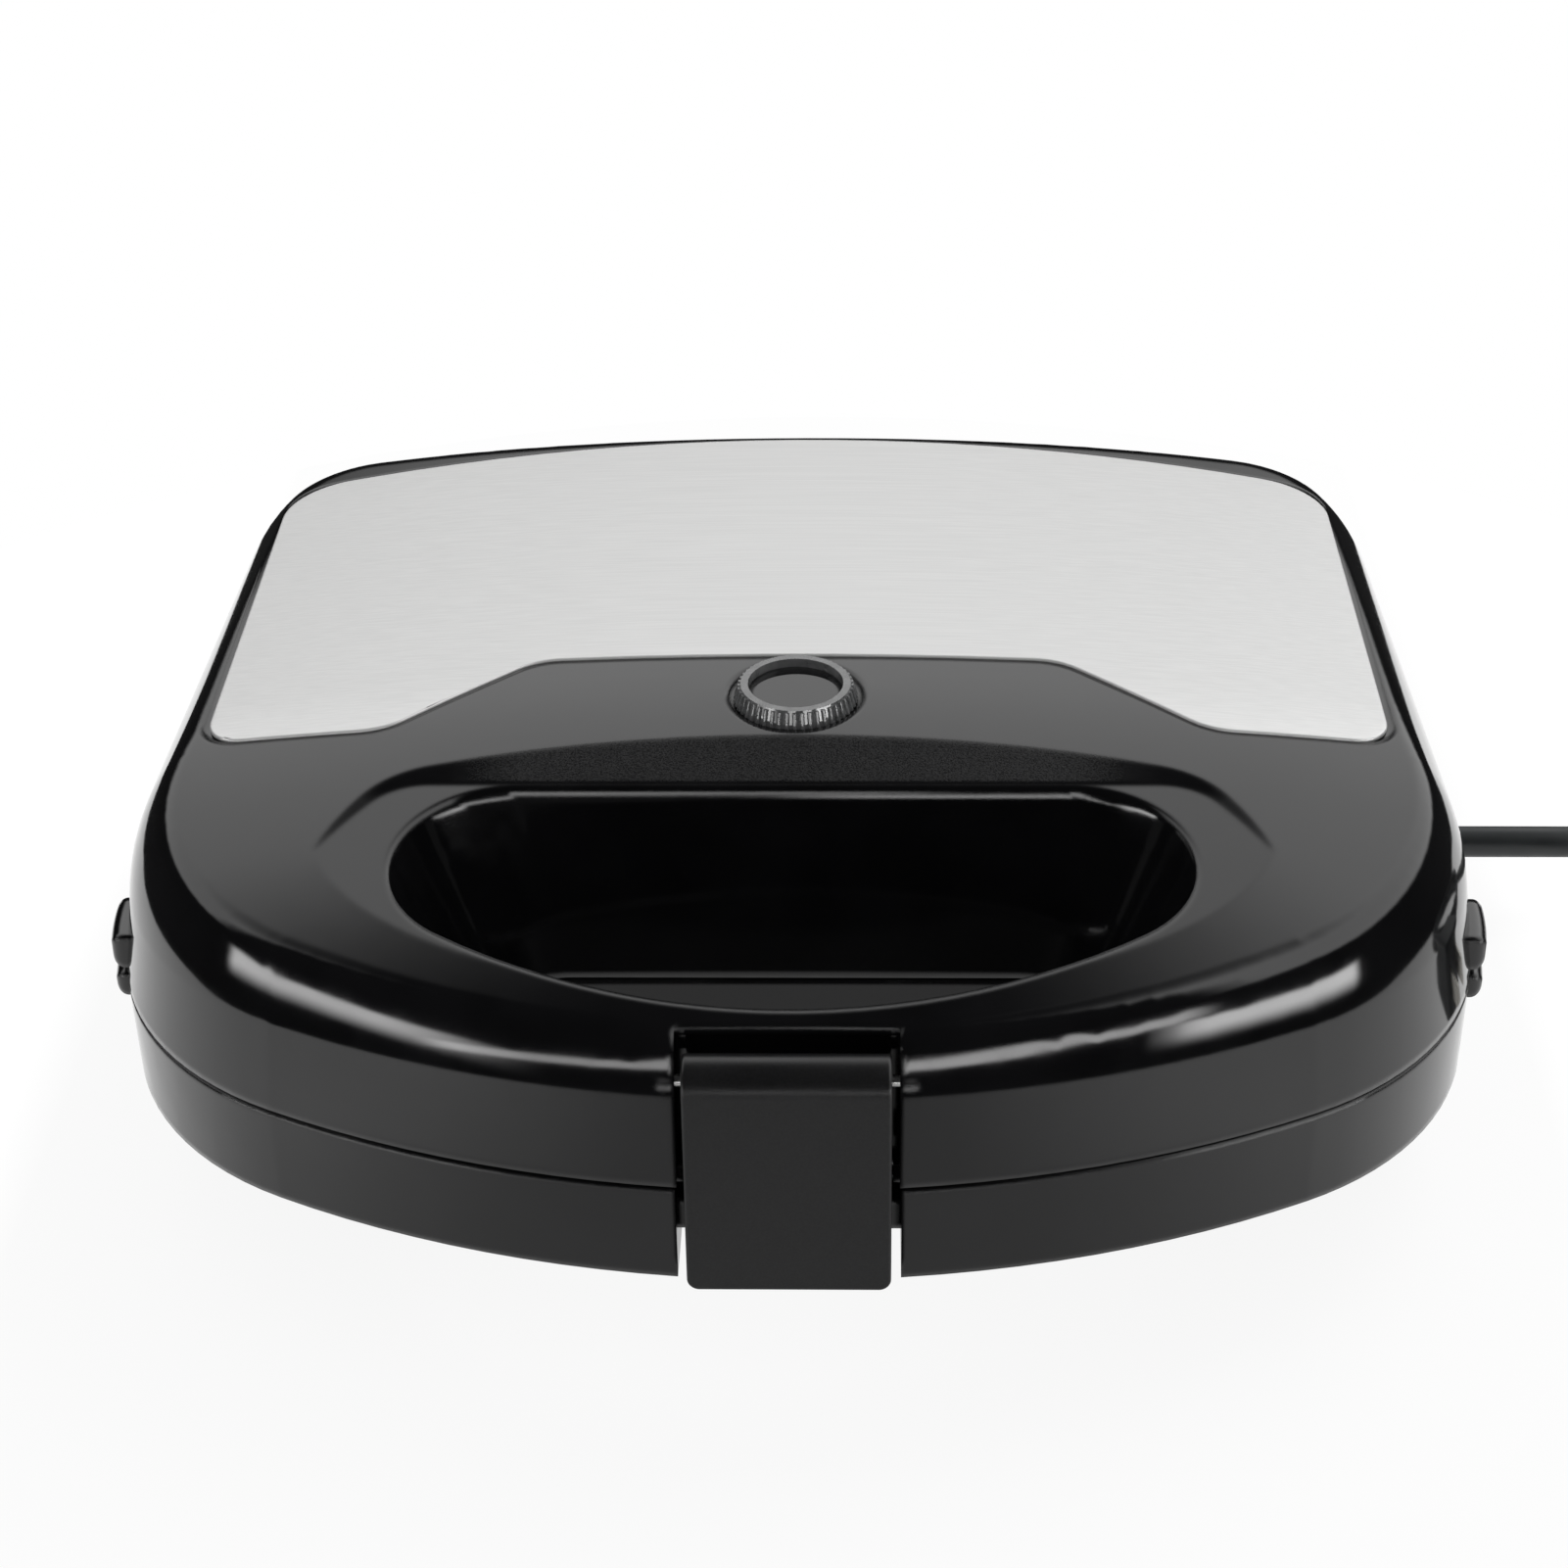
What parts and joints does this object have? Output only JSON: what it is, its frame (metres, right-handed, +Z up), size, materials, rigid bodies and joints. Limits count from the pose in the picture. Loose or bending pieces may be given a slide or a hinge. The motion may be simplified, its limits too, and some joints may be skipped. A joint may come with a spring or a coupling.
{
  "type": "donut maker",
  "caption": "Electric donut maker with hinged black lid, brushed steel top panel, light ring, finger opening, front latch, ring-cup plates, release buttons and corded plug.",
  "frame": {"origin": "under the middle of the body, on the table", "axes": "+X right seen from the front, +Y to the hinge at the rear, +Z up; the front with the latch faces -Y"},
  "size_m": [0.4129, 0.232, 0.0944],
  "materials": {
    "gloss_black": "glossy injection-moulded black plastic",
    "satin_black": "satin black plastic",
    "brushed_panel": "brushed stainless steel, grain along the width",
    "clear_lens": "clear ribbed plastic",
    "nonstick": "cast aluminium with a dark non-stick coat",
    "tray_steel": "aluminised steel sheet",
    "element_steel": "heat-darkened steel sheath",
    "fastener_steel": "plated steel",
    "spring_steel": "bright spring steel",
    "black_rubber": "matt black rubber",
    "cord_pvc": "smooth black cord sheath",
    "board_green": "circuit board",
    "ceramic": "pale ceramic or heat-proof plastic",
    "lamp_red": "tinted lamp body",
    "pin_brass": "plain brass"
  },
  "bodies": {
    "base": {"base_shell": "gloss_black", "lower_bezel": "satin_black", "lower_heater_tray": "tray_steel", "lower_heating_element": "element_steel", "lower_donut_plate": "nonstick", "lower_tray_screws": "fastener_steel", "rubber_feet": "black_rubber", "hinge_pins": "fastener_steel", "terminal_block": "ceramic", "strain_relief": "cord_pvc", "power_cord": "cord_pvc", "cord_coil": "cord_pvc", "cord_tie": "satin_black", "power_plug": "cord_pvc", "plug_pins": "pin_brass", "lower_left_spring": "spring_steel", "lower_right_spring": "spring_steel"},
    "lid": {"lid_shell": "gloss_black", "lid_steel_panel": "brushed_panel", "upper_bezel": "satin_black", "upper_heater_tray": "tray_steel", "upper_heating_element": "element_steel", "upper_donut_plate": "nonstick", "upper_tray_screws": "fastener_steel", "thermostat": "ceramic", "thermostat_bracket": "tray_steel", "thermal_fuse": "tray_steel", "indicator_lens": "clear_lens", "indicator_cap": "gloss_black", "lamp_board": "board_green", "indicator_led": "lamp_red", "latch_pin": "fastener_steel", "upper_left_spring": "spring_steel", "upper_right_spring": "spring_steel"},
    "latch": {"front_latch": "satin_black"},
    "upper_left_release": {"upper_left_button": "gloss_black"},
    "upper_right_release": {"upper_right_button": "gloss_black"},
    "lower_left_release": {"lower_left_button": "gloss_black"},
    "lower_right_release": {"lower_right_button": "gloss_black"}
  },
  "joints": [
    {"name": "lid_hinge", "type": "hinge", "parent": "base", "child": "lid", "pos_m": [0, 0.1105, 0.052], "axis": [-1, 0, 0], "range_deg": [0, 105]},
    {"name": "latch_pivot", "type": "hinge", "parent": "lid", "child": "latch", "pos_m": [0, -0.1088, 0.068], "axis": [-1, 0, 0], "range_deg": [0, 55]},
    {"name": "upper_left_press", "type": "slide", "parent": "lid", "child": "upper_left_release", "axis": [1, 0, 0], "range_m": [0, 0.003], "stiffness_N_per_m": 300, "springref_m": -0.002, "deforming": ["upper_left_spring"]},
    {"name": "upper_right_press", "type": "slide", "parent": "lid", "child": "upper_right_release", "axis": [-1, 0, 0], "range_m": [0, 0.003], "stiffness_N_per_m": 300, "springref_m": -0.002, "deforming": ["upper_right_spring"]},
    {"name": "lower_left_press", "type": "slide", "parent": "base", "child": "lower_left_release", "axis": [1, 0, 0], "range_m": [0, 0.003], "stiffness_N_per_m": 300, "springref_m": -0.002, "deforming": ["lower_left_spring"]},
    {"name": "lower_right_press", "type": "slide", "parent": "base", "child": "lower_right_release", "axis": [-1, 0, 0], "range_m": [0, 0.003], "stiffness_N_per_m": 300, "springref_m": -0.002, "deforming": ["lower_right_spring"]}
  ]
}
